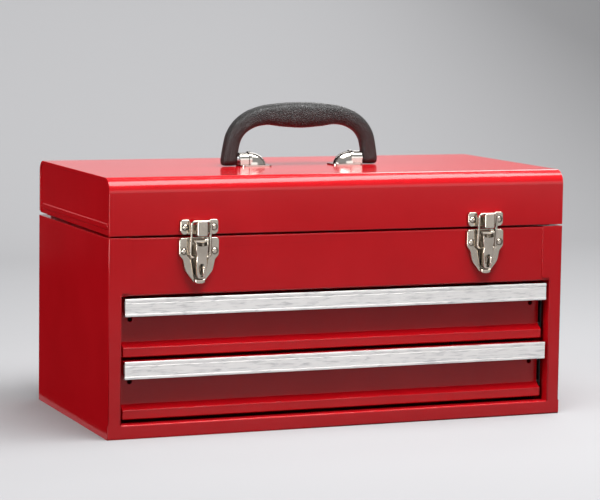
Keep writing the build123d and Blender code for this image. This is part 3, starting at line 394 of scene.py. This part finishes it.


# nickel gives a warm satin grey, chrome a hard mirror, both with painted shade in their gaps, zinc
# a dull blue grey
nickel = plated_metal("satin_nickel_plate", "#B2A89B", "#C3BAAE", 0.22, 9.0, painted_shade_reach=2.6)
chrome = plated_metal(
    "bright_chrome_plate", "#B2ACA5", "#C2BDB6", 0.13, 14.0, bump=0.000001, painted_shade_reach=2.0
)
zinc = plated_metal("zinc_plated_steel", "#B4B8BB", "#C6C8C8", 0.34, 6.0)
ball_steel = plated_metal("polished_bearing_steel", "#CBCBCE", "#D6D6D8", 0.08, 5.0)
print("metals", nickel.name, chrome.name, zinc.name, ball_steel.name)

# %% [markdown]
# ## Brushed aluminium
#
# The pulls are drawn from aluminium and brushed along their length, then clear anodised.
# Brushing leaves scratches some tenths of a millimetre apart and tens of millimetres
# long, so the noise is squeezed across the length and stretched along it. A second,
# coarser layer leans a little: it gives the wavy streaks that the eye sees from afar.


# %% Aluminium
def brushed_aluminium():
    """Anodised aluminium. Streaks are noise, 40 mm long and 0.5 mm wide."""
    material, tree, shader = new_material("brushed_anodised_aluminium", Metallic=1.0)
    place = add_node(tree, "ShaderNodeTexCoord").outputs["Object"]
    along = add_node(
        tree, "ShaderNodeMapping", {"Vector": place, "Scale": (1 / 0.040, 1 / 0.004, 1 / 0.0005)}
    )
    lean = add_node(
        tree, "ShaderNodeMapping",
        {"Vector": place, "Rotation": (0, math.radians(14), 0),
         "Scale": (1 / 0.013, 1 / 0.01, 1 / 0.0022)},
    )
    fine = add_node(
        tree, "ShaderNodeTexNoise",
        {"Vector": along.outputs[0], "Scale": 1.0, "Detail": 4.0, "Roughness": 0.7},
    )
    wave = add_node(
        tree, "ShaderNodeTexNoise",
        {"Vector": lean.outputs[0], "Scale": 1.0, "Detail": 2.0, "Distortion": 0.6},
    )
    streaks = add_node(
        tree, "ShaderNodeMath", {0: fine.outputs["Fac"], 1: wave.outputs["Fac"]}, operation="ADD"
    )
    tint = add_node(tree, "ShaderNodeValToRGB", {"Fac": streaks.outputs[0]})
    tint.color_ramp.elements[0].position = 0.62
    tint.color_ramp.elements[0].color = linear("#A9A9AB")
    tint.color_ramp.elements[1].position = 1.0
    tint.color_ramp.elements[1].color = linear("#E0DEDC")
    haze = add_node(
        tree, "ShaderNodeMapRange",
        {"Value": streaks.outputs[0], "From Min": 0.6, "From Max": 1.4, "To Min": 0.30,
         "To Max": 0.46},
    )
    scratch = add_node(
        tree, "ShaderNodeBump",
        {"Height": streaks.outputs[0], "Strength": 0.5, "Distance": 0.00002},
    )
    tree.links.new(tint.outputs["Color"], shader.inputs["Base Color"])
    tree.links.new(haze.outputs["Result"], shader.inputs["Roughness"])
    tree.links.new(scratch.outputs["Normal"], shader.inputs["Normal"])
    return material


# the aluminium gives pale streaks along the pulls
aluminium = brushed_aluminium()
print("made", aluminium.name)

# %% [markdown]
# ## The grip's moulded plastic
#
# The grip is near black plastic, moulded in a tool with a fine leather grain: small
# rounded cells with creases between them, some 1.5 mm across. The creases get painted
# shade, a darker colour, and the cells' crowns a painted grey sheen.


# %% Grip plastic
def grained_plastic():
    """Moulded black plastic: cells 1.5 mm wide from a Voronoi's distance to its edges."""
    material, tree, shader = new_material(
        "grained_black_plastic", Roughness=0.38, IOR=1.49
    )
    place = add_node(tree, "ShaderNodeTexCoord").outputs["Object"]
    warp = add_node(
        tree, "ShaderNodeTexNoise", {"Vector": place, "Scale": wavelength(2.5), "Detail": 2.0}
    )
    shifted = add_node(
        tree, "ShaderNodeVectorMath",
        {0: warp.outputs["Color"], 1: (0.0009, 0.0009, 0.0009), 2: place}, operation="MULTIPLY_ADD",
    )
    cells = add_node(
        tree, "ShaderNodeTexVoronoi",
        {"Vector": shifted.outputs[0], "Scale": wavelength(1.5)}, feature="DISTANCE_TO_EDGE",
    )
    grain_and_sheen_mask = add_node(
        tree, "ShaderNodeMapRange",
        {"Value": cells.outputs["Distance"], "From Max": 0.28}, interpolation_type="SMOOTHSTEP",
    )
    # painted shade in the creases and a painted grey sheen on the crowns, from the same mask that
    # bumps the grain
    tint = add_node(
        tree, "ShaderNodeMix",
        {"Factor": grain_and_sheen_mask.outputs["Result"], "A": linear("#0C0A0A"), "B": linear("#201E1D")},
        data_type="RGBA",
    )
    grain = add_node(
        tree, "ShaderNodeBump",
        {"Height": grain_and_sheen_mask.outputs["Result"], "Strength": 1.0, "Distance": 0.0003},
    )
    tree.links.new(tint.outputs["Result"], shader.inputs["Base Color"])
    tree.links.new(grain.outputs["Normal"], shader.inputs["Normal"])
    return material


# the plastic gives near black, with painted shade in its creases and a painted grey sheen on its
# crowns
plastic = grained_plastic()
print("made", plastic.name)

# %% [markdown]
# ## Finishes by slot
#
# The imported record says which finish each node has, so the nodes are dressed from it.

# %% Dress the nodes
finishes = {
    "red_paint": enamel,
    "aluminium_pull": aluminium,
    "nickel_plate": nickel,
    "chrome_plate": chrome,
    "zinc_steel": zinc,
    "ball_steel": ball_steel,
    "black_grip": plastic,
}
slot_of = {part["node"]: part["material_slot"] for part in frame["record"]["subparts"]}
for name, node in nodes.items():
    node.data.materials.clear()
    node.data.materials.append(finishes[slot_of[name]])
print({slot: list(slot_of.values()).count(slot) for slot in finishes})

# %% [markdown]
# ## From a grid of points to a piece
#
# The new pieces are surfaces on a grid: one direction runs along the piece and the other
# round its section. numpy works out all the points at once, and one helper joins them
# with quads, closes both ends and puts the piece on its body. A closed surface whose
# signed volume comes out negative is inside out, so its faces are then turned round.

# %% Grid surfaces
front = -0.109
seam = 0.177
lid_top = seam + 0.052


def add_piece(name, points, faces, body, slot, replaced, smooth=True):
    """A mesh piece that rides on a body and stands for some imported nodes."""
    mesh = bpy.data.meshes.new(name)
    mesh.from_pydata(np.asarray(points, dtype=float).tolist(), [], faces)
    if smooth:
        mesh.shade_smooth()
    mesh.materials.append(finishes[slot])
    piece = bpy.data.objects.new(name, mesh)
    bpy.context.scene.collection.objects.link(piece)
    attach(piece, body)
    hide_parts(*replaced)
    return piece


def grid_faces(rows, columns):
    """The quads of a grid that is closed round its columns, as an array of corners."""
    first = np.arange(rows - 1)[:, None] * columns
    here, there = np.arange(columns), (np.arange(columns) + 1) % columns
    corners = [first + here, first + there, first + columns + there, first + columns + here]
    return np.stack(corners, axis=-1).reshape(-1, 4)


def signed_volume(points, quads):
    """Six tetrahedra's worth of each quad's corners, from the origin, added up."""
    a, b, c, d = (points[quads[:, i]] for i in range(4))
    boxes = np.einsum("ij,ij->i", a, np.cross(b, c) + np.cross(c, d))
    return boxes.sum() / 6


def closed_surface(grid):
    """Points and faces of a grid of sections. Each end is closed by one flat face."""
    rows, columns, _ = grid.shape
    points = grid.reshape(-1, 3)
    quads = grid_faces(rows, columns)
    last = (rows - 1) * columns
    ends = [list(range(columns))[::-1], list(range(last, last + columns))]
    if signed_volume(points - points.mean(axis=0), quads) < 0:
        quads = quads[:, ::-1]
        ends = [end[::-1] for end in ends]
    return points, quads.tolist() + ends


# %% [markdown]
# ## The moulded grip
#
# The grip is one moulding round two steel pins: an arch that leans inwards, swells where
# the palm lies and ends in a rounded foot at each pin. It could be a bevelled curve, but
# a curve's section keeps its proportions. Here a superellipse is carried along the arch,
# and its width, its depth and its tilt each follow their own smooth line.

# %% Grip
pivot_rise = 0.0063
foot_radius = 0.0059
# the middle's x and its rise over the pins, the section's tilt, its width and its depth
grip_stations = np.array([
    (70.7, 0.0, 0.0, 15.7, 11.7),
    (69.0, 11.9, 6.0, 14.8, 13.0),
    (66.5, 21.1, 25.0, 14.8, 14.6),
    (60.9, 29.45, 48.0, 15.3, 16.2),
    (50.5, 36.7, 62.0, 16.6, 17.6),
    (37.5, 40.4, 73.0, 18.4, 19.0),
    (20.0, 40.9, 85.0, 22.0, 20.5),
    (0.0, 40.75, 90.0, 24.0, 21.0),
])


def smooth_line(knots, values, at):
    """A cubic Hermite curve through the knots. Its slope at each is the neighbours'."""
    slopes = np.gradient(values, knots, axis=0)
    i = np.clip(np.searchsorted(knots, at, side="right") - 1, 0, len(knots) - 2)
    span = (knots[i + 1] - knots[i])[:, None]
    t = (at - knots[i])[:, None] / span
    return (
        (2 * t**3 - 3 * t**2 + 1) * values[i]
        + (t**3 - 2 * t**2 + t) * span * slopes[i]
        + (3 * t**2 - 2 * t**3) * values[i + 1]
        + (t**3 - t**2) * span * slopes[i + 1]
    )


def grip_rows(count=150, foot_count=12):
    """The stations mirrored and smoothed. Under each pin the section shrinks to nothing
    along a rounded foot: its depth as a circle's chord, its width far later."""
    left = grip_stations[-2::-1] * (-1, 1, -1, 1, 1) + (0, 0, 180, 0, 0)
    stations = np.concatenate([grip_stations, left])
    steps = np.linalg.norm(np.diff(stations[:, :2], axis=0), axis=1)
    knots = np.concatenate([[0], np.cumsum(steps)])
    arch = smooth_line(knots, stations, np.linspace(0, knots[-1], count))
    turn = np.linspace(np.pi / 2, 0, foot_count, endpoint=False)
    drop = np.sin(turn)
    foot = np.repeat(arch[:1], foot_count, axis=0)
    foot[:, 1] = -drop * foot_radius / mm
    foot[:, 3] *= np.maximum(1 - drop**7, 0.0) ** 0.3 * 0.999 + 0.001
    foot[:, 4] *= np.cos(turn) * 0.999 + 0.001
    other = foot[::-1] * (-1, 1, 1, 1, 1)
    other[:, 2] = 180.0
    return np.concatenate([foot, arch, other])


def make_grip(columns=56, power=2.7):
    """A superellipse, whose two half axes raised to the power add up to one, on each row.
    Its width lies across the arch and its depth runs from front to back."""
    rows = grip_rows()
    tilt = np.radians(rows[:, 2])
    around = np.linspace(0, 2 * np.pi, columns, endpoint=False)
    c, s = np.cos(around), np.sin(around)
    u = np.sign(c) * np.abs(c) ** (2 / power) * rows[:, 3:4] / 2
    v = np.sign(s) * np.abs(s) ** (2 / power) * rows[:, 4:5] / 2
    grid = np.empty((len(rows), columns, 3))
    grid[..., 0] = rows[:, :1] + u * np.cos(tilt)[:, None]
    grid[..., 1] = v
    grid[..., 2] = (lid_top + pivot_rise) / mm + rows[:, 1:2] + u * np.sin(tilt)[:, None]
    points, faces = closed_surface(grid * mm)
    return add_piece("grip_moulding", points, faces, "handle", "black_grip", ["handle_grip"])


grip = make_grip()
print("grip", tuple(round(v / mm, 1) for v in grip.dimensions), "mm")

# %% [markdown]
# ## The drawer pulls
#
# A pull is one aluminium extrusion: a face with a crowned band along the top, a groove, a
# wide brushed band and a narrow crowned strip, and behind it the slot that hooks on the
# drawer's hem. An extrusion is a profile carried along a straight path, so its profile is
# all there is to draw. The corners are rounded by a few tenths of a millimetre: those
# thin rounds catch the bright lines that make it look like metal.

# %% Pulls
pull_half_width = 0.2058
pull_bottoms = {"lower": 0.0527, "upper": 0.1079}


def rounded(profile, radii, steps=4):
    """Each corner of a closed outline becomes a short curve: a parabola that leaves one
    side at the radius from the corner and meets the other side at the same distance."""
    corner = np.asarray(profile, dtype=float)
    back = np.roll(corner, 1, axis=0) - corner
    ahead = np.roll(corner, -1, axis=0) - corner
    reach = np.asarray(radii, dtype=float)[:, None]
    start = corner + back / np.linalg.norm(back, axis=1, keepdims=True) * reach
    stop = corner + ahead / np.linalg.norm(ahead, axis=1, keepdims=True) * reach
    t = np.linspace(0, 1, steps)[None, :, None]
    curve = (1 - t) ** 2 * start[:, None] + 2 * t * (1 - t) * corner[:, None] + t**2 * stop[:, None]
    return curve.reshape(-1, 2)


def pull_profile(low):
    """The extrusion's outline as depth behind the front plane and height, from its upper
    front corner down the face, back under the lip and up behind the hook's slot."""
    high = low + 0.0157
    groove = high - 0.0034
    strip = low + 0.0023
    hem = low + 0.0069
    corners = [
        (0.45, high, 0.3), (0.0, high - 0.0011, 0.5), (0.25, groove, 0.15),
        (0.85, groove - 0.00005, 0.1), (0.85, groove - 0.0006, 0.1), (0.3, groove - 0.00065, 0.15),
        (0.3, strip + 0.0006, 0.15), (0.6, strip + 0.0005, 0.1), (0.6, strip + 0.0001, 0.1),
        (0.05, strip, 0.15), (0.0, low + 0.0009, 0.4), (0.45, low, 0.2),
        (4.0, low, 0.3), (4.0, low + 0.0012, 0.3), (1.6, low + 0.0012, 0.2),
        (1.6, low + 0.005, 0.05), (3.65, low + 0.005, 0.2), (3.65, high - 0.0025, 0.3),
        (2.65, high - 0.0025, 0.2), (2.65, hem, 0.1), (1.6, hem, 0.1), (1.6, high, 0.3),
    ]
    depth, height, radius = np.array(corners).T
    outline = np.stack([front + depth * mm, height], axis=1)
    return rounded(outline, radius * mm)


def make_pull(level, body):
    """The profile carried straight along X, from one end of the drawer to the other."""
    profile = pull_profile(pull_bottoms[level])
    stations = np.array([-1.0, 1.0]) * pull_half_width
    grid = np.empty((2, len(profile), 3))
    grid[..., 0] = stations[:, None]
    grid[..., 1:] = profile
    points, faces = closed_surface(grid)
    return add_piece(
        f"pull_extrusion_{level}", points, faces, body, "aluminium_pull",
        [f"drawer_pull_{level}"], smooth=False,
    )


for level in pull_bottoms:
    pull = make_pull(level, f"drawer_{level}")
    print(pull.name, tuple(round(v / mm, 1) for v in pull.dimensions), "mm")

# %% [markdown]
# ## Enamelled edges
#
# A sheared steel edge is never knife sharp once it is painted: the enamel draws back from
# it and leaves a small round that catches the light as a fine bright line. The packed
# sheets have square edges. A copy of each has its doubled points merged and its flat
# faces joined again, and a Bevel modifier rounds the folds that are given a weight. The
# case's foot corners keep theirs sharp. The end panels of the lid also reach lower
# towards the hinge than the solids do, because the photograph's seam is narrower there.

# %% Softened sheets
sharp_fold = math.radians(50)
flat_fold = math.radians(0.5)
case_depth = 0.218
foot_corner_x = 0.2080
foot_corner_top = 0.0150
end_seam_front = 0.0017
end_seam_growth = 0.0025
end_drop_rear = 0.0016
end_hem = 0.0012
round_widths = {
    "body_shell": 0.3, "front_apron": 0.3, "lid_shell": 0.38, "lid_end_left": 0.3,
    "lid_end_right": 0.3, "bottom_pan": 0.3, "drawer_front_upper": 0.3,
    "drawer_front_lower": 0.3,
}


def takes_round(edge):
    """Sharp folds do, but not at the case's foot corners, whose facets are too short."""
    sharp = len(edge.link_faces) == 2 and edge.calc_face_angle() > sharp_fold
    return sharp and not any(
        abs(v.co.x) > foot_corner_x and v.co.z < foot_corner_top for v in edge.verts
    )


def lower_end_edge(work):
    """Moves the end panel's bottom edge down, by nothing in front and by end_drop_rear
    at the back, with a straight run between."""
    for vert in work.verts:
        behind = (vert.co.y - front) / case_depth
        edge = seam + end_seam_front + end_seam_growth * behind
        if vert.co.z < edge + end_hem:
            vert.co.z -= end_drop_rear * behind


def soften(node, body, slot, width):
    """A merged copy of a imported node, its sharp folds rounded over width millimetres.
    Normals weighted by area keep the flat sheet flat in the light."""
    mesh = nodes[node].data.copy()
    mesh.name = f"{node}_softened"
    work = bmesh.new()
    work.from_mesh(mesh)
    bmesh.ops.remove_doubles(work, verts=work.verts, dist=1e-6)
    bmesh.ops.dissolve_limit(work, angle_limit=flat_fold, verts=work.verts, edges=work.edges)
    if node.startswith("lid_end"):
        lower_end_edge(work)
    weight = work.edges.layers.float.new("bevel_weight_edge")
    for edge in work.edges:
        edge[weight] = float(takes_round(edge))
    work.to_mesh(mesh)
    work.free()
    mesh.shade_smooth()
    mesh.materials.clear()
    mesh.materials.append(finishes[slot])
    piece = bpy.data.objects.new(f"{node}_softened", mesh)
    bpy.context.scene.collection.objects.link(piece)
    bevel = piece.modifiers.new("enamel_round", "BEVEL")
    bevel.width = width * mm
    bevel.segments = 2
    bevel.limit_method = "WEIGHT"
    bevel.use_clamp_overlap = False
    flats = piece.modifiers.new("flats_stay_flat", "WEIGHTED_NORMAL")
    flats.weight = 100
    flats.keep_sharp = False
    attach(piece, body)
    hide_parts(node)
    return piece


bodies = frame["record"]["behaviour"]["bodies"]
body_of = {name: body for body, names in bodies.items() for name in names}
for node, width in round_widths.items():
    piece = soften(node, body_of[node], "red_paint", width)
    print(piece.name, len(piece.data.polygons), "faces")
